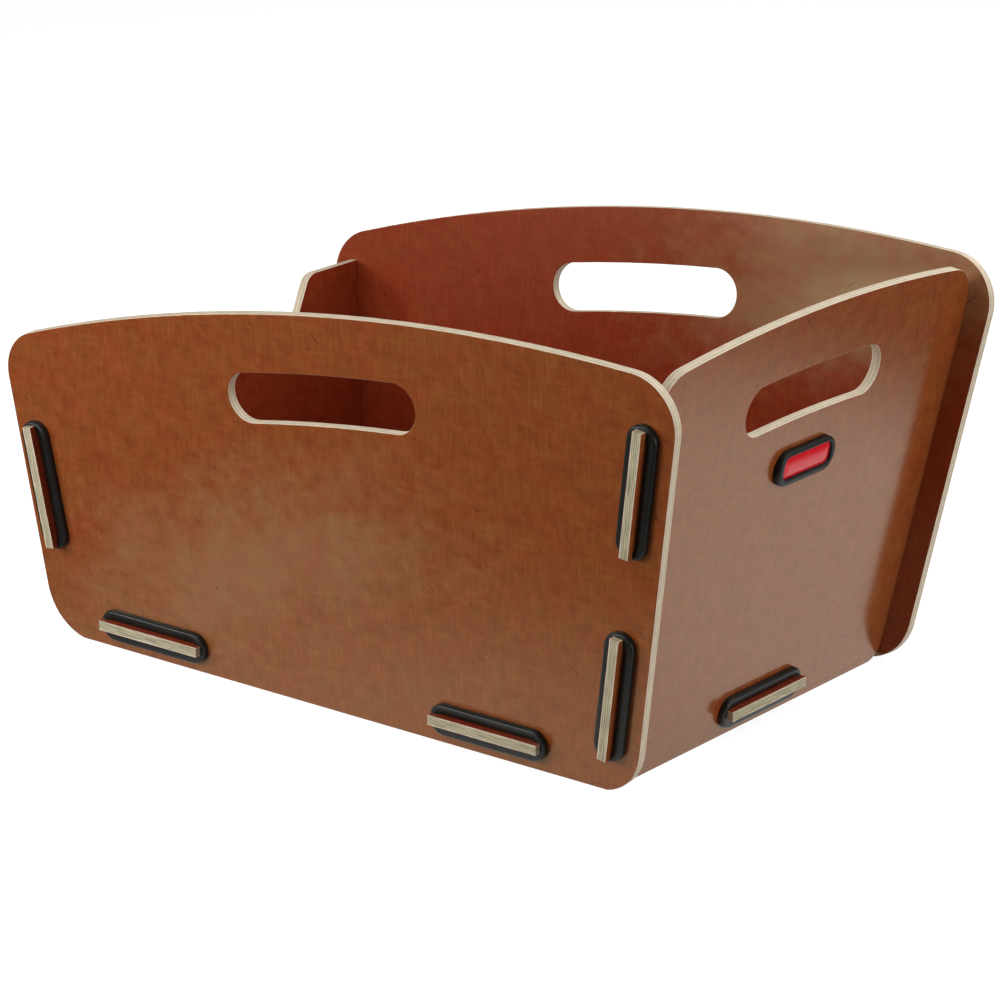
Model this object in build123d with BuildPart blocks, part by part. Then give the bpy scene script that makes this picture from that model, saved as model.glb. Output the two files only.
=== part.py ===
"""Bicycle crate: five plywood panels plugged together by tabs, each tab locked by a rubber ring."""

import os
from math import atan2, cos, degrees, radians, sin, sqrt, tan

from build123d import *

os.makedirs("parts", exist_ok=True)

# Millimetres. X runs along the long walls to the tall end, Y to the back, Z up.
# The crate stands on the lower edges of its walls at Z = 0, with X = Y = 0 in its middle.

# Plywood sheet and its fits
sheet = 5.5                 # thickness of every panel
edge_ease = 0.4             # rounding of the cut edges
slot_gap = 0.15             # all round a tab in its slot
butt_gap = 0.1              # between one panel's edge and another's face
overrun = 4.0               # how far a cut, or a tab's root, reaches past a face

# Long walls, front and back, measured on the outer face
floor_edge = 384.3          # lower edge, before its corners are rounded
floor_width = 252.5         # across both long walls at the ground
long_lean = 5.9             # degrees that the long walls lean out
short_side = 164.9          # side edge at the short end
short_side_slant = 7.1
tall_side = 223.5           # side edge at the tall end
tall_side_slant = 9.0
top_corner = 26.0           # corner radii
short_floor_corner = 30.3
tall_floor_corner = 26.8

# Arched rims and the hand holes below them
rim_radius = 1047.5
hole_below_rim = 44.8       # from the rim to the middle of the hole
hole_length = 122.7
hole_height = 27.2
hole_shift = 4.4            # in the long walls, along the rim towards the short end

# Tall end wall, with a hand hole
tall_inset = 14.3           # from the long walls' lower corner to its outer face
tall_lean = 9.1
tall_end_drop = 3.2         # its shoulders below the long walls' corners
tall_end_corner = 20.5

# Short end wall, with a notch between two ears
short_inset = 12.4
short_lean = 7.8
ear_drop = 10.5             # its ears below the long walls' corners
ear_round = 11.0
notch_width = 187.0         # between the ears, at their tops
notch_depth = 37.0
notch_slant = 32.0
notch_round = 18.0

# Both end walls
end_floor_corner = 12.0
end_foot_gap = 0.4          # their lower edges stay clear of the ground

# Floor panel
floor_height = 11.3         # its underside above the ground
rack_hole = 5.5             # clearance holes for the bolts to a luggage rack
rack_span_x = 180.0
rack_span_y = 90.0

# Tabs, the same at every joint
tab_length = 68.2
tab_out = 7.7               # a tab's end above the wall's outer face
tab_notch = 3.8             # cut into both ends of a tab, behind its head
tall_lower_tab = 54.2       # middles of the end walls' tabs, up the joint from the ground
short_tab = 87.4
tall_upper_tab_drop = 54.4  # middle of the upper tab, down from the tall end wall's shoulder
floor_tab_from_short = 73.6  # middles of the floor's tabs, from the long walls' lower corners
floor_tab_from_tall = 88.3

# Rubber rings, each gripping the neck of a tab
ring_past_tab = 2.2         # past each end of its tab
ring_width = 17.4
ring_depth = 3.9
ring_crest = 1.7            # rounding of its outer edge
ring_lip = 0.8              # bevel of its inner edge
ring_gap = 0.06             # between a ring and the wood

# Badge on the tall end wall
badge_length = 52.0
badge_width = 19.2
badge_depth = 4.0
badge_corner = 9.2
badge_drop = 39.1           # from the middle of the hand hole down to its own
badge_round = 1.6
plate_length = 43.2
plate_width = 12.5
plate_corner = 4.2
plate_sheet = 1.6
plate_recess = 0.6          # below the frame's rim
plate_lift = 0.7            # its middle above the frame's
plate_gap = 0.1

lean = radians(long_lean)
tall = radians(tall_lean)
short = radians(short_lean)
wall_half = floor_width / 2
ring_length = tab_length + 2 * ring_past_tab
tall_end_side = (tall_side * cos(lean) - tall_end_drop) / cos(tall)
ear_height = (short_side * cos(lean) - ear_drop) / cos(short)


def half_inside(height):
    """Half the room between the long walls at a height above the ground."""
    return wall_half - sheet / cos(lean) - butt_gap + height * tan(lean)


def rim_drop(chord):
    """From a rim's arc centre up to the chord between its ends."""
    return sqrt(rim_radius**2 - (chord / 2) ** 2)


def hand_hole(centre, tilt, shift):
    """Outline of a hand hole that follows the rim about the same centre."""
    radius = rim_radius - hole_below_rim
    run = hole_length - hole_height
    first = 90 + degrees(tilt + (shift - run / 2) / radius)
    with BuildSketch() as hole:
        with BuildLine() as spine:
            CenterArc(centre, radius, first, degrees(run / radius))
        SlotArc(spine.wire(), hole_height)
    return hole.sketch


def joint(wall, panel, start, along=0):
    """Where a panel's tab leaves a wall: a plane across the tab, and one flat on the wall.

    Start lies where the middle of the panel cuts the wall's outer face. The tab's middle is
    further along that line, upwards or towards the tall end. X is along the tab in both planes.
    """
    line = wall.z_dir.cross(panel.z_dir).normalized()
    if line.X + line.Z < 0:
        line = -line
    middle = Vector(start) + line * along
    outward = wall.z_dir - panel.z_dir * wall.z_dir.dot(panel.z_dir)
    return Plane(middle, x_dir=line, z_dir=outward), Plane(middle, x_dir=line, z_dir=wall.z_dir)


def behind(plane):
    """The same plane on the crate's other long side."""
    flip = [Vector(v.X, -v.Y, v.Z) for v in (plane.origin, plane.x_dir, plane.z_dir)]
    return Plane(flip[0], x_dir=flip[1], z_dir=flip[2])


def make_tab(place):
    """A tab with its root, its neck notched at both ends for the ring, and its head."""
    across, flat = place
    skew = across.z_dir.dot(flat.z_dir)
    rise = sheet / 2 * sqrt(1 / skew**2 - 1)
    neck_end = ring_depth / skew + rise + ring_gap
    with BuildPart() as tab:
        with BuildSketch(across.offset(tab_out)):
            Rectangle(tab_length, sheet)
        extrude(amount=-tab_out - sheet / skew - rise - overrun)
        with BuildSketch(across.offset(neck_end)):
            with GridLocations(tab_length - tab_notch, 0, 2, 1):
                Rectangle(tab_notch, sheet)
        extrude(amount=-neck_end - rise, mode=Mode.SUBTRACT)
    return tab.part


def make_slot(place):
    """The opening that a tab needs in the wall."""
    with BuildPart() as slot:
        with BuildSketch(place[0]):
            Rectangle(tab_length + 2 * slot_gap, sheet + 2 * slot_gap)
        extrude(amount=sheet + overrun, both=True)
    return slot.part


def make_ring(place):
    """A rubber ring flat on the wall, round the neck of a tab."""
    across, flat = place
    with BuildPart() as ring:
        with BuildSketch(flat):
            SlotOverall(ring_length, ring_width)
        extrude(amount=ring_depth)
        crest = ring.faces().sort_by(Axis(flat.origin, flat.z_dir))[-1]
        fillet(crest.edges(), radius=ring_crest)
        with BuildSketch(across):
            Rectangle(tab_length - 2 * tab_notch + 2 * ring_gap, sheet + 2 * ring_gap)
        extrude(amount=ring_depth + overrun, both=True, mode=Mode.SUBTRACT)
        lip = ring.faces().sort_by(Axis(flat.origin, flat.z_dir))[-1].inner_wires()[0]
        chamfer(lip.edges(), length=ring_lip)
    return ring.part


def ease(panel, plane):
    """The rim edges of a flat panel's two faces."""
    faces = panel.faces().filter_by(plane).sort_by(Axis(plane.origin, plane.z_dir))
    return faces[0].edges() + faces[-1].edges()


# Outline of the long walls, from the lower corner at the short end. Their lower edges are drawn
# a little below the ground and cut off flat there.
below = sheet * tan(lean) + edge_ease
short_run = tan(radians(short_side_slant))
tall_run = tan(radians(tall_side_slant))
short_top = Vector(-short_side * short_run, short_side)
tall_top = Vector(floor_edge + tall_side * tall_run, tall_side)
rim_tilt = atan2(tall_top.Y - short_top.Y, tall_top.X - short_top.X)
rim_fall = rim_drop((tall_top - short_top).length)
rim_centre = (short_top + tall_top) / 2 + Vector(sin(rim_tilt), -cos(rim_tilt)) * rim_fall

with BuildSketch() as long_outline:
    with BuildLine():
        Polyline(
            short_top,
            (below * short_run, -below),
            (floor_edge - below * tall_run, -below),
            tall_top,
        )
        RadiusArc(tall_top, short_top, -rim_radius)
    make_face()
    corners = long_outline.vertices().sort_by(Axis.Y)
    fillet(corners[2:], radius=top_corner)
    fillet(long_outline.vertices().group_by(Axis.Y)[0].sort_by(Axis.X)[0], radius=short_floor_corner)
    fillet(long_outline.vertices().group_by(Axis.Y)[0].sort_by(Axis.X)[-1], radius=tall_floor_corner)

# The outer faces of the panels, each with Y up the wall
reach = long_outline.sketch.bounding_box()
shift_x = -(reach.min.X + reach.max.X) / 2
tall_foot = floor_edge - tall_inset + shift_x
short_foot = short_inset + shift_x
front_face = Plane((shift_x, -wall_half, 0), x_dir=(1, 0, 0), z_dir=(0, -cos(lean), -sin(lean)))
tall_face = Plane((tall_foot, 0, 0), x_dir=(0, 1, 0), z_dir=(cos(tall), 0, -sin(tall)))
short_face = Plane((short_foot, 0, 0), x_dir=(0, -1, 0), z_dir=(-cos(short), 0, -sin(short)))
floor_face = Plane((0, 0, floor_height), x_dir=(1, 0, 0), z_dir=(0, 0, -1))

# The joints, each named after its ring
tall_start = (tall_foot - sheet / 2 / cos(tall), -wall_half, 0)
short_start = (short_foot + sheet / 2 / cos(short), -wall_half, 0)
floor_middle = floor_height + sheet / 2
floor_start = (shift_x, -wall_half - floor_middle * tan(lean), floor_middle)
front_joints = {
    "tall_upper": joint(front_face, tall_face, tall_start, tall_end_side - tall_upper_tab_drop),
    "tall_lower": joint(front_face, tall_face, tall_start, tall_lower_tab),
    "short": joint(front_face, short_face, short_start, short_tab),
    "floor_tall": joint(front_face, floor_face, floor_start, floor_edge - floor_tab_from_tall),
    "floor_short": joint(front_face, floor_face, floor_start, floor_tab_from_short),
}
back_joints = {name: (behind(across), behind(flat)) for name, (across, flat) in front_joints.items()}
tall_end_joint = joint(tall_face, floor_face, (tall_foot + floor_middle * tan(tall), 0, floor_middle))
short_end_joint = joint(short_face, floor_face, (short_foot - floor_middle * tan(short), 0, floor_middle))


def make_tabs(*names):
    """Tabs into the front wall and their twins into the back wall."""
    return [make_tab(side[name]) for side in (front_joints, back_joints) for name in names]


front_slots = [make_slot(place) for place in front_joints.values()]
tall_tabs = make_tabs("tall_upper", "tall_lower")
short_tabs = make_tabs("short")
floor_side_tabs = make_tabs("floor_tall", "floor_short")
floor_end_tabs = [make_tab(tall_end_joint), make_tab(short_end_joint)]
tall_slot = make_slot(tall_end_joint)
short_slot = make_slot(short_end_joint)
long_hole = hand_hole(rim_centre, rim_tilt, hole_shift)

# Front wall
with BuildPart() as front_panel:
    with BuildSketch(front_face):
        add(long_outline.sketch)
        add(long_hole, mode=Mode.SUBTRACT)
    extrude(amount=-sheet)
    fillet(ease(front_panel, front_face), radius=edge_ease)
    split(bisect_by=Plane.XY, keep=Keep.TOP)
    add(front_slots, mode=Mode.SUBTRACT)
front_panel.part.label = "front_panel"
export_step(front_panel.part, "parts/front_panel.step")

# Back wall, its mirror image
with BuildPart() as back_panel:
    mirror(front_panel.part, about=Plane.XZ)
back_panel.part.label = "back_panel"
export_step(back_panel.part, "parts/back_panel.step")

# Tall end wall
tall_half = half_inside(tall_end_side * cos(tall))
foot_half = half_inside(end_foot_gap)
tall_rim_centre = Vector(0, tall_end_side - rim_drop(2 * tall_half))
tall_hole = hand_hole(tall_rim_centre, 0, 0)

with BuildPart() as right_end_panel:
    with BuildSketch(tall_face) as tall_outline:
        with BuildLine():
            Polyline(
                (-tall_half, tall_end_side),
                (-foot_half, end_foot_gap / cos(tall)),
                (foot_half, end_foot_gap / cos(tall)),
                (tall_half, tall_end_side),
            )
            RadiusArc((tall_half, tall_end_side), (-tall_half, tall_end_side), -rim_radius)
        make_face()
        fillet(tall_outline.vertices().group_by(Axis.Y)[-1], radius=tall_end_corner)
        fillet(tall_outline.vertices().group_by(Axis.Y)[0], radius=end_floor_corner)
        add(tall_hole, mode=Mode.SUBTRACT)
    extrude(amount=-sheet)
    fillet(ease(right_end_panel, tall_face), radius=edge_ease)
    add(tall_tabs)
    add(tall_slot, mode=Mode.SUBTRACT)
right_end_panel.part.label = "right_end_panel"
export_step(right_end_panel.part, "parts/right_end_panel.step")

# Short end wall
ear_half = half_inside(ear_height * cos(short))
notch_half = notch_width / 2
notch_floor_half = notch_half - notch_depth * tan(radians(notch_slant))

with BuildPart() as left_end_panel:
    with BuildSketch(short_face) as short_outline:
        with BuildLine():
            Polyline(
                (-ear_half, ear_height),
                (-foot_half, end_foot_gap / cos(short)),
                (foot_half, end_foot_gap / cos(short)),
                (ear_half, ear_height),
                (notch_half, ear_height),
                (notch_floor_half, ear_height - notch_depth),
                (-notch_floor_half, ear_height - notch_depth),
                (-notch_half, ear_height),
                close=True,
            )
        make_face()
        fillet(short_outline.vertices().group_by(Axis.Y)[1], radius=notch_round)
        ears = short_outline.vertices().group_by(Axis.Y)[-1].sort_by(Axis.X)
        fillet(ears[1:3], radius=ear_round)
        fillet(short_outline.vertices().group_by(Axis.Y)[0], radius=end_floor_corner)
    extrude(amount=-sheet)
    fillet(ease(left_end_panel, short_face), radius=edge_ease)
    add(short_tabs)
    add(short_slot, mode=Mode.SUBTRACT)
left_end_panel.part.label = "left_end_panel"
export_step(left_end_panel.part, "parts/left_end_panel.step")

# Floor panel, level between the four walls
floor_half = half_inside(floor_height)
floor_right = tall_foot - sheet / cos(tall) - butt_gap + floor_height * tan(tall)
floor_left = short_foot + sheet / cos(short) + butt_gap - floor_height * tan(short)

with BuildPart() as bottom_panel:
    with BuildSketch(Plane.XY.offset(floor_height)):
        with Locations(((floor_left + floor_right) / 2, 0)):
            Rectangle(floor_right - floor_left, 2 * floor_half)
    extrude(amount=sheet)
    fillet(ease(bottom_panel, Plane.XY.offset(floor_height)), radius=edge_ease)
    add(floor_side_tabs + floor_end_tabs)
    with Locations(Plane.XY.offset(floor_height + sheet)):
        with GridLocations(rack_span_x, rack_span_y, 2, 2):
            Hole(rack_hole / 2)
bottom_panel.part.label = "bottom_panel"
export_step(bottom_panel.part, "parts/bottom_panel.step")

# Rubber rings
ring_places = {f"front_{name}_ring": place for name, place in front_joints.items()}
ring_places |= {f"back_{name}_ring": place for name, place in back_joints.items()}
ring_places["right_end_ring"] = tall_end_joint
ring_places["left_end_ring"] = short_end_joint
for name, place in ring_places.items():
    ring = make_ring(place)
    ring.label = name
    export_step(ring, f"parts/{name}.step")

# Badge: a moulded frame with a plain plate let into it
badge_height = tall_rim_centre.Y + rim_radius - hole_below_rim - badge_drop
badge_middle = tall_face.from_local_coords(Vector(0, badge_height))
badge_face = Plane(badge_middle, x_dir=tall_face.x_dir, z_dir=tall_face.z_dir)
plate_seat = badge_depth - plate_recess - plate_sheet
plate_middle = badge_face.from_local_coords(Vector(0, plate_lift, plate_seat))
plate_face = Plane(plate_middle, x_dir=tall_face.x_dir, z_dir=tall_face.z_dir)

with BuildPart() as badge_frame:
    with BuildSketch(badge_face):
        RectangleRounded(badge_length, badge_width, badge_corner)
    extrude(amount=badge_depth)
    front = badge_frame.faces().sort_by(Axis(badge_face.origin, badge_face.z_dir))[-1]
    fillet(front.edges(), radius=badge_round)
    with BuildSketch(plate_face):
        RectangleRounded(
            plate_length + 2 * plate_gap, plate_width + 2 * plate_gap, plate_corner + plate_gap
        )
    extrude(amount=badge_depth, mode=Mode.SUBTRACT)
badge_frame.part.label = "badge_frame"
export_step(badge_frame.part, "parts/badge_frame.step")

with BuildPart() as badge_plate:
    with BuildSketch(plate_face):
        RectangleRounded(plate_length, plate_width, plate_corner)
    extrude(amount=plate_sheet)
badge_plate.part.label = "badge_plate"
export_step(badge_plate.part, "parts/badge_plate.step")
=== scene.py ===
from math import cos, pi, radians, sin

import bmesh
import bpy
from mathutils import Euler, Matrix, Vector


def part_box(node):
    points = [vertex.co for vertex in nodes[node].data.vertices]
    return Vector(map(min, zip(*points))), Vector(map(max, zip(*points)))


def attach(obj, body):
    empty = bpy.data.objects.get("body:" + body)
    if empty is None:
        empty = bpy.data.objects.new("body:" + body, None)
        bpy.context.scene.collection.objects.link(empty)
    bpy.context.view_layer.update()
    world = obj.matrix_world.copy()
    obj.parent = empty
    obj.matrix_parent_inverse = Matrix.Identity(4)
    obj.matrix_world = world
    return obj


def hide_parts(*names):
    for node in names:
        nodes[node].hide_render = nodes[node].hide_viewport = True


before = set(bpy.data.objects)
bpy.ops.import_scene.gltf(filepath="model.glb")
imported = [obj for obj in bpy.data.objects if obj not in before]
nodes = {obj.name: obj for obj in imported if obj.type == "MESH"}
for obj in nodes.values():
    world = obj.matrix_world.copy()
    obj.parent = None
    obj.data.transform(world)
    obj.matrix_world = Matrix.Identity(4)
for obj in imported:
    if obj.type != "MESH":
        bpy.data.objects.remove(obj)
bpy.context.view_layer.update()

# A plywood bicycle crate: five film-faced panels plugged together, a rubber ring round every tab,
# and a small badge. Lengths are in metres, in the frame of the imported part.
MM = 0.001

PANELS = ("front_panel", "back_panel", "right_end_panel", "left_end_panel", "bottom_panel")
LEVEL_PANEL = "bottom_panel"
LONG_WALLS = {"front": "front_panel", "back": "back_panel"}
END_WALLS = {"right": "right_end_panel", "left": "left_end_panel"}
# The panel whose tab each ring of a long wall holds
SIDE_TABS = {
    "tall_upper": "right_end_panel",
    "tall_lower": "right_end_panel",
    "short": "left_end_panel",
    "floor_tall": "bottom_panel",
    "floor_short": "bottom_panel",
}
# The walls that each panel's tabs go through
PASSED_WALLS = {
    "front_panel": (),
    "back_panel": (),
    "right_end_panel": tuple(LONG_WALLS.values()),
    "left_end_panel": tuple(LONG_WALLS.values()),
    "bottom_panel": tuple(LONG_WALLS.values()) + tuple(END_WALLS.values()),
}

SHEET = 5.5 * MM            # plywood
FILM = 0.11 * MM            # face film on both sides of it
PLY = SHEET / 5

NECK_WIDTH = 5.62 * MM      # the tab's neck that a ring closes round
NECK_LENGTH = 60.6 * MM
RING_WIDTH = 17.4 * MM
RING_DEPTH = 3.9 * MM
RING_SHOULDER = 2.2 * MM    # from the neck out to the ring's top
SHOULDER_DROP = 0.2 * MM    # how much lower than the top's outer edge it begins
NECK_DROP = 1.2 * MM        # and how much lower the ring lies at the neck
RING_TURN_STEPS = 20        # faces round each end of a ring
CORNER_STEPS = 6            # faces round each corner of its section
# Corners of a ring's section: across from the tab's middle, up from the wall, and rounding
RING_SECTION = (
    (NECK_WIDTH / 2, 0.0, 0.3 * MM),
    (RING_WIDTH / 2, 0.0, 0.5 * MM),
    (RING_WIDTH / 2, RING_DEPTH, 1.6 * MM),
    (NECK_WIDTH / 2 + RING_SHOULDER, RING_DEPTH - SHOULDER_DROP, 0.9 * MM),
    (NECK_WIDTH / 2, RING_DEPTH - NECK_DROP, 0.6 * MM),
)

BADGE_WALL = "right_end_panel"
BADGE_LENGTH = 52.0 * MM
BADGE_WIDTH = 19.2 * MM
BADGE_DEPTH = 4.0 * MM
BADGE_CORNER = 9.2 * MM
BADGE_CREST = 2.0 * MM      # rounding of the frame's outer edge
BADGE_LIP = 0.5 * MM        # rounding of its inner edge
LIP_DROP = 0.05 * MM        # the inner edge lies this much lower
CREST_TURNS = range(0, 91, 15)            # degrees round the outer edge
LIP_TURNS = range(90, -1, -30)            # and round the inner one
BADGE_CORNER_STEPS = 12
PLATE_LENGTH = 43.2 * MM
PLATE_WIDTH = 12.5 * MM
PLATE_CORNER = 4.2 * MM
PLATE_LIFT = 0.7 * MM       # the plate's middle above the frame's
PLATE_GAP = 0.1 * MM
PLATE_SEAT = 1.8 * MM
PLATE_EDGE = 2.4 * MM       # height of the plate's rim above the wall
PLATE_CROWN = 3.4 * MM      # height of its middle
PLATE_ROWS = 12             # rounded rectangles that make up its dome
PLATE_ROW_POWER = 1.3       # above 1 crowds them towards the rim
PLATE_ROUNDNESS = 0.6       # the least corner of a row, as a share of its half width
SAME_POINT = 0.001 * MM


def linear(hex_colour):
    """An sRGB hex colour as the linear colour that Blender's sockets take."""
    parts = [int(hex_colour[i:i + 2], 16) / 255 for i in (1, 3, 5)]
    return [p / 12.92 if p < 0.04045 else ((p + 0.055) / 1.055) ** 2.4 for p in parts] + [1.0]


def add_node(tree, kind, sockets=None, stops=None, **settings):
    """Adds a node, with settings by name, sockets set or linked, and a colour ramp's stops."""
    node = tree.nodes.new(kind)
    for name, value in settings.items():
        setattr(node, name, value)
    for key, value in (sockets or {}).items():
        if isinstance(value, bpy.types.NodeSocket):
            tree.links.new(value, node.inputs[key])
        else:
            node.inputs[key].default_value = value
    for place, (position, colour) in enumerate(stops or ()):
        elements = node.color_ramp.elements
        element = elements[place] if place < 2 else elements.new(position)
        element.position = position
        element.color = colour
    return node


def new_material(name):
    """A node material, its node tree and its Principled shader."""
    material = bpy.data.materials.new(name)
    material.use_nodes = True
    return material, material.node_tree, material.node_tree.nodes["Principled BSDF"]


# Camera, at the photograph's place and angle
CAMERA_PLACE = (1.28924, -1.7286, 0.7844)
CAMERA_TURN = (72.0047, -0.9748, 36.9034)      # degrees

camera_data = bpy.data.cameras.new("photo_camera")
camera_data.sensor_width = 36
camera_data.lens = 152.96
camera_data.clip_end = 50
camera = bpy.data.objects.new("photo_camera", camera_data)
camera.location = CAMERA_PLACE
camera.rotation_euler = Euler([radians(angle) for angle in CAMERA_TURN], "XYZ")
bpy.context.scene.collection.objects.link(camera)
bpy.context.scene.camera = camera
bpy.context.scene.view_settings.view_transform = "Standard"


def panel_frame(panel):
    """A panel's own frame: X along it, Y up it, Z out through its sheet, from the sheet's middle."""
    mesh = nodes[panel].data
    low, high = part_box(panel)
    middle = (low + high) / 2
    if panel == LEVEL_PANEL:
        out = Vector((0, 0, -1))
        along = Vector((1, 0, 0))
    else:
        out = max(mesh.polygons, key=lambda face: face.area).normal.copy()
        if out.dot(Vector((middle.x, middle.y, 0))) < 0:
            out.negate()
        along = Vector((0, 0, 1)).cross(out).normalized()
    depths = [vertex.co.dot(out) for vertex in mesh.vertices]
    origin = middle + out * ((min(depths) + max(depths)) / 2 - middle.dot(out))
    axes = Matrix((along, out.cross(along), out)).transposed().to_4x4()
    return Matrix.Translation(origin) @ axes


frames = {panel: panel_frame(panel) for panel in PANELS}


# Film-faced birch plywood. The birch veneers are peeled, stained red-brown on the faces, and
# pressed with a clear phenolic resin film between polished plates. To the eye that gives a mottled,
# finely threaded brown under a satin reflection with soft edges. The sheet is cut by a router, so
# the edges show the five bare plies and the thin glue lines between them.
FILM_TONES = ("#864420", "#944d25", "#a0592d")
# Painted shade: the inner faces take darker, redder tones, standing in for the shade inside the
# crate
FILM_INSIDE_SHADED = ("#8a341c", "#953c21", "#a04528")
TONE_STOPS = (0.38, 0.5, 0.62)
FILM_REDDER = (1.0, 0.86, 0.87, 1.0)      # share of the film's colour that is kept
FILM_GOLDEN = (0.95, 1.0, 0.93, 1.0)
HUE_STOPS = (0.4, 0.6)
BAND_SHARE = 0.4            # of the bands in the weave, the rest is threads
WEAVE_SHARE = 0.62          # of the weave in the tone, the rest is mottle
FILM_ROUGHNESS = 0.18
FILM_IOR = 1.62
FILM_REFLECTION = (1, 1, 0.6, 1)          # slightly yellow resin
EDGE_ROUGHNESS = 0.6
RELIEF_STRENGTH = 0.07
RELIEF_DEPTH = 0.05 * MM

# Noise patterns: size in millimetres along the panel, up it and through it, detail, and turn in
# its plane in degrees. Wood fibres are 0.1 to 0.3 mm wide, too fine to show in the render, so the
# threads, the bands and the grain are drawn as coarse as they need to show.
PATTERNS = {
    "mottle": ((10, 8, 20), 5, 0),               # veneer that took up the stain unevenly
    "threads": ((1.7, 15, 20), 3, 0),            # fibres up the panel
    "bands": ((14, 2.0, 20), 3, 0),              # marks of the peeling knife across them
    "hues": ((19, 14, 20), 5, 0),                # redder and golden parts of the stain
    "clouds": ((70, 45, 20), 3, 0),              # outline of the painted reflection
    "scratch_paths": ((22, 1.6, 20), 0, -38),    # long lines, of which few are kept
    "scratch_places": ((13, 3.2, 20), 0, -38),   # where they are kept
    "grain": ((13, 13, 0.42), 2, 0),             # fibres in the cut edge
    "streaks": ((6, 6, 4), 1, 0),                # glue that was soaked up unevenly
}
PATTERN_ROUGHNESS = 0.65
PANEL_SHIFT = Vector((0.83, 0.3071, 0))   # between the patterns of one panel and the next

# Painted reflection: a greyish patch that stands in for the white table mirrored in the film, one
# patch on one side of each panel
PAINTED_REFLECTION = "#a67c5a"
PAINTED_REFLECTION_SIZE = (125 * MM, 45 * MM, 1)       # half length and half width
PAINTED_REFLECTION_TEAR = 1.5            # how far the clouds push its outline, in half sizes
PAINTED_REFLECTION_FRAY = 0.9            # and the mottle
PAINTED_REFLECTION_FADE = (-1.1, 0.3)    # full inside the first, gone at the second
# Its middle along and up the panel, its tilt in degrees, strength and side (1 is outside)
PAINTED_REFLECTION_PLACES = {
    "front_panel": (-62 * MM, -42 * MM, 22, 0.6, 1),
    "back_panel": (-138 * MM, 84 * MM, -15, 0.92, -1),
    "right_end_panel": (10 * MM, -20 * MM, 24, 0.3, -1),
    "left_end_panel": (-40 * MM, -30 * MM, 24, 0.4, 1),
    "bottom_panel": (50 * MM, 0.0, 24, 0.3, -1),
}

# A few thin slanted scratches
SCRATCH = "#522010"
SCRATCH_LEVEL = 0.5         # the noise value that a scratch follows
SCRATCH_BREADTH = 0.022     # and how near it the noise has to be
SCRATCH_KEPT = (0.745, 0.79)
SCRATCH_STRENGTH = 0.75

# The plies, counted from the core outwards
CORE_PLY = 0
CROSS_PLY = 1               # its grain runs the other way, so the edge shows its end grain
BETWEEN_PLIES = 0.5
PLY_FACE = "#ebdac3"
PLY_CROSS = "#d8c6aa"
PLY_GLUE = "#5a4a2e"
PLY_RUBBED = "#cdc2a2"      # inner plies of a tab's head, soiled from being pushed through
FIBRE_RANGE = (0.36, 0.58)
FIBRE_DARKEST = 0.86        # share of the ply's colour
FIBRE_LIGHTEST = 1.05
HEAD_DARKER = 0.36          # a tab's head has darker fibres
HEAD_GLUE = 0.4             # and darker glue lines
GLUE_REACH = 0.42           # share of a ply that a glue line fades out over
GLUE_RANGE = (0.35, 0.6)
GLUE_STRENGTH = (0.05, 0.5)


def film_painted_reflection(tree, panel, own, height, patterns):
    """How much of the painted reflection shows: a tilted oval with a torn outline, on one side of
    the panel.
    """
    middle_x, middle_y, tilt, strength, side = PAINTED_REFLECTION_PLACES[panel]
    from_middle = add_node(
        tree,
        "ShaderNodeMapping",
        {
            "Vector": own,
            "Location": (middle_x, middle_y, 0),
            "Rotation": (0, 0, radians(tilt)),
            "Scale": PAINTED_REFLECTION_SIZE,
        },
        vector_type="TEXTURE",
    )
    reach = add_node(tree, "ShaderNodeVectorMath", {0: from_middle.outputs[0]}, operation="LENGTH")
    torn = add_node(
        tree,
        "ShaderNodeMath",
        {0: patterns["clouds"], 1: -PAINTED_REFLECTION_TEAR, 2: reach.outputs["Value"]},
        operation="MULTIPLY_ADD",
    )
    frayed = add_node(
        tree,
        "ShaderNodeMath",
        {0: patterns["mottle"], 1: -PAINTED_REFLECTION_FRAY, 2: torn.outputs[0]},
        operation="MULTIPLY_ADD",
    )
    faded = add_node(
        tree,
        "ShaderNodeMapRange",
        {0: frayed.outputs[0], 1: PAINTED_REFLECTION_FADE[0], 2: PAINTED_REFLECTION_FADE[1], 3: strength, 4: 0.0},
        interpolation_type="SMOOTHSTEP",
    )
    towards = add_node(tree, "ShaderNodeMath", {0: height, 1: side}, operation="MULTIPLY")
    on_side = add_node(
        tree, "ShaderNodeMath", {0: towards.outputs[0], 1: 0.0}, operation="GREATER_THAN"
    )
    shown = add_node(
        tree, "ShaderNodeMath", {0: faded.outputs[0], 1: on_side.outputs[0]}, operation="MULTIPLY"
    )
    return shown.outputs[0]


def film_scratches(tree, patterns):
    """How much of the scratches shows."""
    line = add_node(
        tree,
        "ShaderNodeMath",
        {0: patterns["scratch_paths"], 1: SCRATCH_LEVEL, 2: SCRATCH_BREADTH},
        operation="COMPARE",
    )
    kept = add_node(
        tree,
        "ShaderNodeMapRange",
        {
            0: patterns["scratch_places"],
            1: SCRATCH_KEPT[0],
            2: SCRATCH_KEPT[1],
            4: SCRATCH_STRENGTH,
        },
    )
    shown = add_node(
        tree, "ShaderNodeMath", {0: kept.outputs[0], 1: line.outputs[0]}, operation="MULTIPLY"
    )
    return shown.outputs[0]


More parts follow.
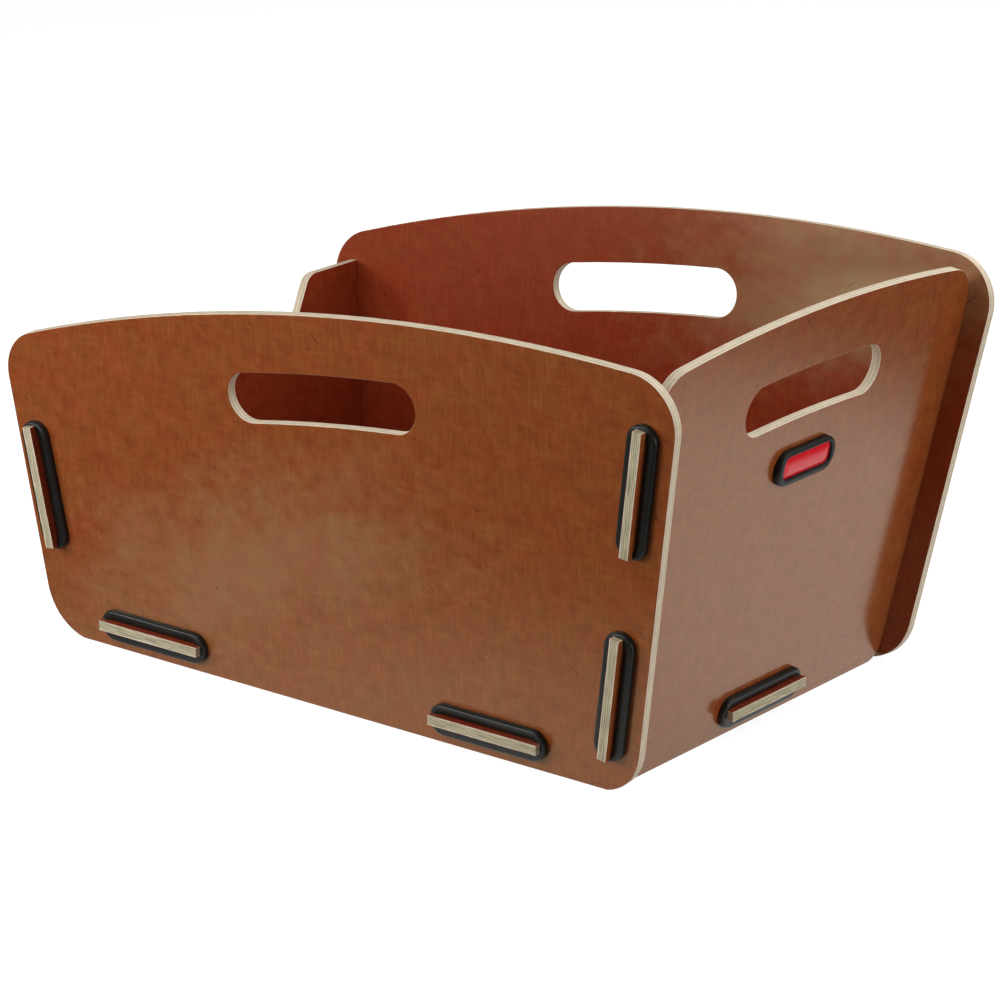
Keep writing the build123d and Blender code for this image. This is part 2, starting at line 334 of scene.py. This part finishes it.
def film_colour(tree, panel, own, height, patterns, weave):
    """The film's colour: stained veneer, darker and redder inside as painted shade, with its painted
    reflection, its hues and scratches.
    """
    tone = add_node(tree, "ShaderNodeMix", {0: WEAVE_SHARE, 2: patterns["mottle"], 3: weave})
    outer, shaded_inner = [
        add_node(
            tree,
            "ShaderNodeValToRGB",
            {0: tone.outputs[0]},
            stops=list(zip(TONE_STOPS, [linear(colour) for colour in tones])),
        )
        for tones in (FILM_TONES, FILM_INSIDE_SHADED)
    ]
    # Painted shade: the inner side of each sheet takes the darker, redder tones
    outside = add_node(tree, "ShaderNodeMath", {0: height, 1: 0.0}, operation="GREATER_THAN")
    face = add_node(
        tree,
        "ShaderNodeMix",
        {0: outside.outputs[0], 6: shaded_inner.outputs[0], 7: outer.outputs[0]},
        data_type="RGBA",
    )
    # Painted reflection: a greyish patch mixed into the colour, standing in for the table mirrored
    # in the film
    reflection_share = film_painted_reflection(tree, panel, own, height, patterns)
    with_painted_reflection = add_node(
        tree,
        "ShaderNodeMix",
        {0: reflection_share, 6: face.outputs[2], 7: linear(PAINTED_REFLECTION)},
        data_type="RGBA",
    )
    hue = add_node(
        tree,
        "ShaderNodeValToRGB",
        {0: patterns["hues"]},
        stops=list(zip(HUE_STOPS, (FILM_REDDER, FILM_GOLDEN))),
    )
    tinted = add_node(
        tree,
        "ShaderNodeMix",
        {0: 1.0, 6: with_painted_reflection.outputs[2], 7: hue.outputs[0]},
        data_type="RGBA",
        blend_type="MULTIPLY",
    )
    scratched = add_node(
        tree,
        "ShaderNodeMix",
        {0: film_scratches(tree, patterns), 6: tinted.outputs[2], 7: linear(SCRATCH)},
        data_type="RGBA",
    )
    return scratched.outputs[2]


def tab_head(tree, panel, coordinates):
    """1 on a panel's tabs outside the walls that they go through, and 0 elsewhere."""
    head = 0.0
    for wall in PASSED_WALLS[panel]:
        out = frames[wall].to_3x3().col[2]
        wall_face = frames[wall].translation.dot(out) + SHEET / 2
        beyond = add_node(
            tree, "ShaderNodeVectorMath", {0: coordinates, 1: out}, operation="DOT_PRODUCT"
        )
        past = add_node(
            tree,
            "ShaderNodeMath",
            {0: beyond.outputs["Value"], 1: wall_face},
            operation="GREATER_THAN",
        )
        either = add_node(
            tree, "ShaderNodeMath", {0: head, 1: past.outputs[0]}, operation="MAXIMUM"
        )
        head = either.outputs[0]
    return head


def edge_colour(tree, head, depth, patterns):
    """The cut edge's colour: five plies, of which the second and fourth show end grain."""
    across = add_node(
        tree, "ShaderNodeMath", {0: depth, 1: 1 / PLY, 2: BETWEEN_PLIES}, operation="MULTIPLY_ADD"
    )
    layer = add_node(tree, "ShaderNodeMath", {0: across.outputs[0]}, operation="FLOOR")
    within = add_node(tree, "ShaderNodeMath", {0: across.outputs[0]}, operation="FRACT")
    cross_ply = add_node(
        tree,
        "ShaderNodeMath",
        {0: layer.outputs[0], 1: CROSS_PLY, 2: BETWEEN_PLIES},
        operation="COMPARE",
    )
    ply = add_node(
        tree,
        "ShaderNodeMix",
        {0: cross_ply.outputs[0], 6: linear(PLY_FACE), 7: linear(PLY_CROSS)},
        data_type="RGBA",
    )
    inner_ply = add_node(
        tree,
        "ShaderNodeMath",
        {0: layer.outputs[0], 1: CROSS_PLY + BETWEEN_PLIES},
        operation="LESS_THAN",
    )
    rubbed = add_node(
        tree, "ShaderNodeMath", {0: inner_ply.outputs[0], 1: head}, operation="MULTIPLY"
    )
    worn = add_node(
        tree,
        "ShaderNodeMix",
        {0: rubbed.outputs[0], 6: ply.outputs[2], 7: linear(PLY_RUBBED)},
        data_type="RGBA",
    )

    # Glue lines, soaked into the plies unevenly
    joint = add_node(
        tree, "ShaderNodeMapRange", {0: within.outputs[0], 1: 0.0, 2: GLUE_REACH, 3: 1.0, 4: 0.0}
    )
    soaked = add_node(
        tree,
        "ShaderNodeMapRange",
        {
            0: patterns["streaks"],
            1: GLUE_RANGE[0],
            2: GLUE_RANGE[1],
            3: GLUE_STRENGTH[0],
            4: GLUE_STRENGTH[1],
        },
    )
    darkened = add_node(
        tree,
        "ShaderNodeMath",
        {0: head, 1: HEAD_GLUE, 2: soaked.outputs[0]},
        operation="MULTIPLY_ADD",
    )
    lined = add_node(
        tree, "ShaderNodeMath", {0: joint.outputs[0], 1: darkened.outputs[0]}, operation="MULTIPLY"
    )
    off_core = add_node(
        tree,
        "ShaderNodeMath",
        {0: layer.outputs[0], 1: CORE_PLY + BETWEEN_PLIES},
        operation="GREATER_THAN",
    )
    glue = add_node(
        tree, "ShaderNodeMath", {0: lined.outputs[0], 1: off_core.outputs[0]}, operation="MULTIPLY"
    )
    glued = add_node(
        tree,
        "ShaderNodeMix",
        {0: glue.outputs[0], 6: worn.outputs[2], 7: linear(PLY_GLUE)},
        data_type="RGBA",
    )

    darkest = add_node(
        tree,
        "ShaderNodeMath",
        {0: head, 1: -HEAD_DARKER, 2: FIBRE_DARKEST},
        operation="MULTIPLY_ADD",
    )
    fibre = add_node(
        tree,
        "ShaderNodeMapRange",
        {
            0: patterns["grain"],
            1: FIBRE_RANGE[0],
            2: FIBRE_RANGE[1],
            3: darkest.outputs[0],
            4: FIBRE_LIGHTEST,
        },
    )
    shaded = add_node(
        tree,
        "ShaderNodeVectorMath",
        {0: glued.outputs[2], "Scale": fibre.outputs[0]},
        operation="SCALE",
    )
    return shaded.outputs[0]


def plywood(name, panel, shift):
    """Film-faced plywood for one panel, with its patterns moved on by a shift."""
    material, tree, shader = new_material(name)
    coordinates = add_node(tree, "ShaderNodeTexCoord").outputs["Object"]
    place = frames[panel].inverted()
    own = add_node(
        tree,
        "ShaderNodeMapping",
        {
            "Vector": coordinates,
            "Location": place.translation,
            "Rotation": place.to_euler("XYZ"),
        },
    ).outputs[0]
    height = add_node(tree, "ShaderNodeSeparateXYZ", {0: own}).outputs["Z"]
    depth = add_node(tree, "ShaderNodeMath", {0: height}, operation="ABSOLUTE").outputs[0]
    on_film = add_node(
        tree, "ShaderNodeMath", {0: depth, 1: SHEET / 2 - FILM}, operation="GREATER_THAN"
    ).outputs[0]

    moved = add_node(tree, "ShaderNodeVectorMath", {0: own, 1: shift}, operation="ADD")
    patterns = {}
    for kind, (sizes, detail, turn) in PATTERNS.items():
        scaled = add_node(
            tree,
            "ShaderNodeMapping",
            {
                "Vector": moved.outputs[0],
                "Rotation": (0, 0, radians(turn)),
                "Scale": [size * MM for size in sizes],
            },
            vector_type="TEXTURE",
        )
        texture = add_node(
            tree,
            "ShaderNodeTexNoise",
            {
                "Vector": scaled.outputs[0],
                "Scale": 1.0,
                "Detail": detail,
                "Roughness": PATTERN_ROUGHNESS,
            },
        )
        patterns[kind] = texture.outputs["Fac"]
    weave = add_node(
        tree, "ShaderNodeMix", {0: BAND_SHARE, 2: patterns["threads"], 3: patterns["bands"]}
    ).outputs[0]

    head = tab_head(tree, panel, coordinates)
    colour = add_node(
        tree,
        "ShaderNodeMix",
        {
            0: on_film,
            6: edge_colour(tree, head, depth, patterns),
            7: film_colour(tree, panel, own, height, patterns, weave),
        },
        data_type="RGBA",
    )
    roughness = add_node(tree, "ShaderNodeMix", {0: on_film, 2: EDGE_ROUGHNESS, 3: FILM_ROUGHNESS})
    relief = add_node(tree, "ShaderNodeMix", {0: on_film, 2: patterns["grain"], 3: weave})
    bump = add_node(
        tree,
        "ShaderNodeBump",
        {"Height": relief.outputs[0], "Strength": RELIEF_STRENGTH, "Distance": RELIEF_DEPTH},
    )
    tree.links.new(colour.outputs[2], shader.inputs["Base Color"])
    tree.links.new(roughness.outputs[0], shader.inputs["Roughness"])
    tree.links.new(bump.outputs[0], shader.inputs["Normal"])
    shader.inputs["IOR"].default_value = FILM_IOR
    shader.inputs["Specular Tint"].default_value = FILM_REFLECTION
    return material


for step, panel in enumerate(PANELS):
    mesh = nodes[panel].data
    mesh.materials.clear()
    mesh.materials.append(plywood(f"film_faced_birch_plywood_{panel}", panel, PANEL_SHIFT * step))


# Moulded pieces. A noise has its real size and its detail, and a relief its strength and depth.
# Rubber's skin is finer than the render shows, so it is drawn coarser.
RUBBER_TONES = ("#141614", "#1c1f1c")
RUBBER_ROUGHNESS = (0.36, 0.46)
RUBBER_RELIEF = (0.15, 0.05 * MM)
RUBBER_IOR = 1.52
RUBBER_SPECULAR = 0.35
RUBBER_SKIN = (0.8 * MM, 3.0)
RUBBER_PATCH = (14 * MM, 2.0)
BLACK_TONES = ("#101313", "#171b1b")
BLACK_ROUGHNESS = 0.42
RED_TONES = ("#e4192a", "#ea2029")
RED_ROUGHNESS = 0.16
ABS_ROUGHER = 0.05          # how much rougher its waves are in places
ABS_RELIEF = (0.2, 0.1 * MM)
ABS_IOR = 1.53
ABS_SPECULAR = 0.3
ABS_WAVE = (9 * MM, 2.0)
TINT_STOPS = (0.35, 0.65)
NOISE_RANGE = (0.3, 0.7)


def noise(tree, size, detail):
    """Even noise of a real size on the object's coordinates."""
    coordinates = add_node(tree, "ShaderNodeTexCoord")
    texture = add_node(
        tree,
        "ShaderNodeTexNoise",
        {"Vector": coordinates.outputs["Object"], "Scale": 1 / size, "Detail": detail},
    )
    return texture.outputs["Fac"]


def finish_moulded(tree, shader, tones, tint_noise, skin_noise, roughness, relief):
    """Colour, gloss and relief of a moulded piece, from the noise of its tint and of its skin."""
    tint = add_node(
        tree,
        "ShaderNodeValToRGB",
        {0: tint_noise},
        stops=list(zip(TINT_STOPS, [linear(colour) for colour in tones])),
    )
    gloss = add_node(
        tree,
        "ShaderNodeMapRange",
        {0: skin_noise, 1: NOISE_RANGE[0], 2: NOISE_RANGE[1], 3: roughness[0], 4: roughness[1]},
    )
    strength, depth = relief
    bump = add_node(
        tree, "ShaderNodeBump", {"Height": skin_noise, "Strength": strength, "Distance": depth}
    )
    tree.links.new(tint.outputs[0], shader.inputs["Base Color"])
    tree.links.new(gloss.outputs[0], shader.inputs["Roughness"])
    tree.links.new(bump.outputs[0], shader.inputs["Normal"])


# Rubber filled with carbon black and moulded in a polished tool. It looks nearly black, with a
# dull grey sheen along its crest and a slightly uneven skin.
def moulded_rubber():
    material, tree, shader = new_material("moulded_black_rubber")
    skin = noise(tree, *RUBBER_SKIN)
    patch = noise(tree, *RUBBER_PATCH)
    finish_moulded(tree, shader, RUBBER_TONES, patch, skin, RUBBER_ROUGHNESS, RUBBER_RELIEF)
    shader.inputs["IOR"].default_value = RUBBER_IOR
    shader.inputs["Specular IOR Level"].default_value = RUBBER_SPECULAR
    return material


# ABS, injection-moulded in a polished tool: even gloss with small soft waves in it. Handling has
# dulled the frame, and the plate keeps its gloss under a clear coat.
def moulded_abs(name, tones, smoothest):
    material, tree, shader = new_material(name)
    wave = noise(tree, *ABS_WAVE)
    roughness = (smoothest, smoothest + ABS_ROUGHER)
    finish_moulded(tree, shader, tones, wave, wave, roughness, ABS_RELIEF)
    shader.inputs["IOR"].default_value = ABS_IOR
    shader.inputs["Specular IOR Level"].default_value = ABS_SPECULAR
    return material


rubber = moulded_rubber()
badge_black = moulded_abs("polished_black_abs", BLACK_TONES, BLACK_ROUGHNESS)
badge_red = moulded_abs("clear_coated_red_plate", RED_TONES, RED_ROUGHNESS)


def finish_piece(shape, name, place, material, replaced):
    """Makes an object of a bmesh, put in its place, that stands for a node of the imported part."""
    bmesh.ops.remove_doubles(shape, verts=shape.verts, dist=SAME_POINT)
    bmesh.ops.recalc_face_normals(shape, faces=shape.faces)
    bmesh.ops.transform(shape, matrix=place, verts=shape.verts)
    for face in shape.faces:
        face.smooth = True
    mesh = bpy.data.meshes.new(name)
    shape.to_mesh(mesh)
    shape.free()
    mesh.materials.append(material)
    piece = bpy.data.objects.new(name, mesh)
    bpy.context.scene.collection.objects.link(piece)
    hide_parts(replaced)
    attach(piece, "root")


def place_on_wall(node, out, along):
    """The frame of a flat piece on a wall: X along the piece, Z out of the wall, at its back."""
    across = out.cross(along)
    points = [vertex.co for vertex in nodes[node].data.vertices]
    middle = out * min(point.dot(out) for point in points)
    for axis in (along, across):
        reach = [point.dot(axis) for point in points]
        middle += axis * (min(reach) + max(reach)) / 2
    axes = Matrix((along, across, out)).transposed().to_4x4()
    return Matrix.Translation(middle) @ axes


def round_corners(shape, points, radius, steps):
    """Rounds corners of a flat outline, and gives back what the operator made."""
    return bmesh.ops.bevel(
        shape,
        geom=points,
        offset=radius,
        offset_type="OFFSET",
        affect="VERTICES",
        segments=steps,
        profile=0.5,
        material=-1,
    )


# Rubber rings
def ring_section(shape, straight):
    """The section of a ring across one side of its tab: high near its outer edge, lower inwards."""
    points = [shape.verts.new((straight, -across, up)) for across, up, radius in RING_SECTION]
    shape.faces.new(points)
    for point, (across, up, radius) in zip(points, RING_SECTION):
        round_corners(shape, [point], radius, CORNER_STEPS)
    bmesh.ops.delete(shape, geom=shape.faces[:], context="FACES_ONLY")
    return shape.edges[:]


def make_ring(node, wall, tab_panel):
    """A ring round a tab: its section is spun round each end and drawn along each side."""
    out = frames[wall].to_3x3().col[2]
    along = out.cross(frames[tab_panel].to_3x3().col[2]).normalized()
    straight = (NECK_LENGTH - NECK_WIDTH) / 2
    shape = bmesh.new()
    edges = ring_section(shape, straight)
    for end in (1, -1):
        turned = bmesh.ops.spin(
            shape,
            geom=edges,
            cent=(end * straight, 0, 0),
            axis=(0, 0, 1),
            angle=pi,
            steps=RING_TURN_STEPS,
            use_merge=False,
            use_duplicate=False,
        )
        last = [e for e in turned["geom_last"] if isinstance(e, bmesh.types.BMEdge)]
        run = bmesh.ops.extrude_edge_only(shape, edges=last)
        moved = [v for v in run["geom"] if isinstance(v, bmesh.types.BMVert)]
        bmesh.ops.translate(shape, verts=moved, vec=(-end * 2 * straight, 0, 0))
        edges = [e for e in run["geom"] if isinstance(e, bmesh.types.BMEdge)]
        edges = [e for e in edges if all(v in moved for v in e.verts)]
    finish_piece(
        shape, f"rubber_{node}", place_on_wall(node, out, along), rubber, node
    )


for side, wall in LONG_WALLS.items():
    for tab, tab_panel in SIDE_TABS.items():
        make_ring(f"{side}_{tab}_ring", wall, tab_panel)
for side, wall in END_WALLS.items():
    make_ring(f"{side}_end_ring", wall, LEVEL_PANEL)


# Badge
def rounded_loop(shape, length, width, corner, height, lift=0.0):
    """The edges of a rounded rectangle at a height."""
    ends = ((1, 1), (-1, 1), (-1, -1), (1, -1))
    points = [shape.verts.new((x * length / 2, y * width / 2 + lift, height)) for x, y in ends]
    shape.faces.new(points)
    rounded = round_corners(shape, points, corner, BADGE_CORNER_STEPS)
    loop = set(e for v in rounded["verts"] for e in v.link_edges)
    faces = set(f for e in loop for f in e.link_faces)
    bmesh.ops.delete(shape, geom=list(faces), context="FACES_ONLY")
    return list(loop)


def stack_loops(rows):
    """A closed shape through rounded rectangles: length, width, corner, height and lift of each."""
    shape = bmesh.new()
    loops = [rounded_loop(shape, *row) for row in rows]
    for lower, upper in zip(loops, loops[1:]):
        bmesh.ops.bridge_loops(shape, edges=lower + upper)
    for end in (loops[-1], loops[0]):
        bmesh.ops.contextual_create(shape, geom=end)
    return shape


def badge_frame_rows():
    """Up the frame's outside, over its crest, and down through its opening to the plate's seat."""
    rows = [(BADGE_LENGTH, BADGE_WIDTH, BADGE_CORNER, 0.0)]
    for turn in CREST_TURNS:
        drop = BADGE_CREST * (1 - cos(radians(turn)))
        rise = BADGE_DEPTH - BADGE_CREST + BADGE_CREST * sin(radians(turn))
        rows.append((BADGE_LENGTH - 2 * drop, BADGE_WIDTH - 2 * drop, BADGE_CORNER - drop, rise))
    length = PLATE_LENGTH + 2 * PLATE_GAP
    width = PLATE_WIDTH + 2 * PLATE_GAP
    corner = PLATE_CORNER + PLATE_GAP
    for turn in LIP_TURNS:
        drop = BADGE_LIP * (1 - cos(radians(turn)))
        rise = BADGE_DEPTH - LIP_DROP - BADGE_LIP + BADGE_LIP * sin(radians(turn))
        rows.append((length + 2 * drop, width + 2 * drop, corner + drop, rise, PLATE_LIFT))
    rows.append((length, width, corner, PLATE_SEAT, PLATE_LIFT))
    return rows


def badge_plate_rows():
    """Up the plate's side and over its dome."""
    rows = [(PLATE_LENGTH, PLATE_WIDTH, PLATE_CORNER, PLATE_SEAT, PLATE_LIFT)]
    half_width = PLATE_WIDTH / 2
    for step in range(PLATE_ROWS):
        inset = half_width * (step / PLATE_ROWS) ** PLATE_ROW_POWER
        rise = (PLATE_CROWN - PLATE_EDGE) * (1 - (1 - inset / half_width) ** 2)
        corner = max(PLATE_CORNER - inset, (half_width - inset) * PLATE_ROUNDNESS)
        rows.append(
            (
                PLATE_LENGTH - 2 * inset,
                PLATE_WIDTH - 2 * inset,
                corner,
                PLATE_EDGE + rise,
                PLATE_LIFT,
            )
        )
    return rows


badge_along, _, badge_out = frames[BADGE_WALL].to_3x3().col
badge_place = place_on_wall("badge_frame", badge_out, badge_along)
finish_piece(
    stack_loops(badge_frame_rows()),
    "polished_badge_frame",
    badge_place,
    badge_black,
    "badge_frame",
)
finish_piece(
    stack_loops(badge_plate_rows()),
    "domed_badge_plate",
    badge_place,
    badge_red,
    "badge_plate",
)


# Floor and light: a white table that ends a little way from the crate, under soft light. The film
# mirrors the table as bright pools near the crate: middle, full inside one radius and gone at
# the other, and strength.
FLOOR_RADIUS = 9.0
FLOOR_SIDES = 96
POOLS = (
    ((0.1, 0.12, 0.0), 0.27, 0.46, 0.58),
    ((0.12, 0.12, 0.0), 0.22, 0.45, 0.25),
    ((0.25, 0.2, 0.0), 0.15, 0.35, 0.18),
    ((-0.12, -0.12, 0.0), 0.1, 0.28, 0.08),
)
POOL_REST = 0.06
PAPER_GREY = (0.3, 0.3, 0.3, 1)
ROOM_WHITE = (1, 1, 1, 1)
PAPER_GLOW = 0.9            # to the camera, so that the lit floor is pure white
ROOM_FILL = 0.03            # strength of the world, which is white to the camera

floor_shape = bmesh.new()
bmesh.ops.create_circle(floor_shape, cap_ends=True, segments=FLOOR_SIDES, radius=FLOOR_RADIUS)
floor_mesh = bpy.data.meshes.new("white_floor")
floor_shape.to_mesh(floor_mesh)
floor_shape.free()
floor = bpy.data.objects.new("white_floor", floor_mesh)
bpy.context.scene.collection.objects.link(floor)

# Matt white paper: even white to the eye, and it keeps a faint shadow
paper, tree, shader = new_material("matt_white_paper")
shader.inputs["Base Color"].default_value = PAPER_GREY
shader.inputs["Roughness"].default_value = 1.0
shader.inputs["Specular IOR Level"].default_value = 0.0
rays = add_node(tree, "ShaderNodeLightPath")
mirrored = add_node(
    tree,
    "ShaderNodeMath",
    {0: rays.outputs["Is Glossy Ray"], 1: rays.outputs["Is Transmission Ray"]},
    operation="MAXIMUM",
)
spot = add_node(tree, "ShaderNodeTexCoord")
lit = POOL_REST
for middle, near, far, strength in POOLS:
    away = add_node(
        tree, "ShaderNodeVectorMath", {0: spot.outputs["Object"], 1: middle}, operation="DISTANCE"
    )
    pool = add_node(
        tree,
        "ShaderNodeMapRange",
        {0: away.outputs["Value"], 1: near, 2: far, 3: strength, 4: 0.0},
        interpolation_type="SMOOTHSTEP",
    )
    lit = add_node(tree, "ShaderNodeMath", {0: pool.outputs[0], 1: lit}, operation="ADD").outputs[0]
glow = add_node(tree, "ShaderNodeEmission", {"Strength": PAPER_GLOW})
shaded = add_node(tree, "ShaderNodeBsdfDiffuse", {"Color": PAPER_GREY})
lit_pool = add_node(tree, "ShaderNodeEmission", {"Strength": lit})
to_camera = add_node(tree, "ShaderNodeAddShader", {0: glow.outputs[0], 1: shaded.outputs[0]})
to_gloss = add_node(
    tree,
    "ShaderNodeMixShader",
    {0: mirrored.outputs[0], 1: shader.outputs[0], 2: lit_pool.outputs[0]},
)
whole = add_node(
    tree,
    "ShaderNodeMixShader",
    {0: rays.outputs["Is Camera Ray"], 1: to_gloss.outputs[0], 2: to_camera.outputs[0]},
)
tree.links.new(whole.outputs[0], tree.nodes["Material Output"].inputs["Surface"])
floor_mesh.materials.append(paper)

world = bpy.data.worlds.new("soft_room")
bpy.context.scene.world = world
world.use_nodes = True
tree = world.node_tree
room = tree.nodes["Background"]
room.inputs["Color"].default_value = ROOM_WHITE
rays = add_node(tree, "ShaderNodeLightPath")
fill = add_node(
    tree, "ShaderNodeMapRange", {0: rays.outputs["Is Camera Ray"], 3: ROOM_FILL, 4: 1.0}
)
tree.links.new(fill.outputs[0], room.inputs["Strength"])

# Square area lamps that look at the crate's middle: name, place, size in metres and watts
LAMP_TARGET = Vector((0, 0, 0.12))
LAMPS = (
    ("left_soft_box", (-1.0, -0.95, 0.45), 0.25, 5.3),
    ("front_left_soft_box", (-0.38, -1.0, 0.3), 0.4, 3.4),
    ("front_right_soft_box", (0.35, -1.5, 0.4), 0.9, 1),
    ("front_high_soft_box", (-0.3, -1.3, 1.6), 0.8, 8),
    ("overhead_soft_box", (0.1, 0.0, 1.8), 1.2, 7.5),
    ("right_soft_box", (1.7, 0.1, 0.4), 0.8, 10),
    ("right_high_soft_box", (0.9, 0.3, 1.5), 0.8, 3),
    ("right_rear_soft_box", (1.3, 1.0, 1.1), 0.8, 5),
    ("rear_soft_box", (0.0, 1.4, 1.2), 0.8, 9.5),
)
for name, place, size, power in LAMPS:
    lamp_data = bpy.data.lights.new(name, "AREA")
    lamp_data.shape = "SQUARE"
    lamp_data.size = size
    lamp_data.energy = power
    lamp = bpy.data.objects.new(name, lamp_data)
    lamp.location = place
    lamp.rotation_euler = (LAMP_TARGET - Vector(place)).to_track_quat("-Z", "Y").to_euler()
    bpy.context.scene.collection.objects.link(lamp)
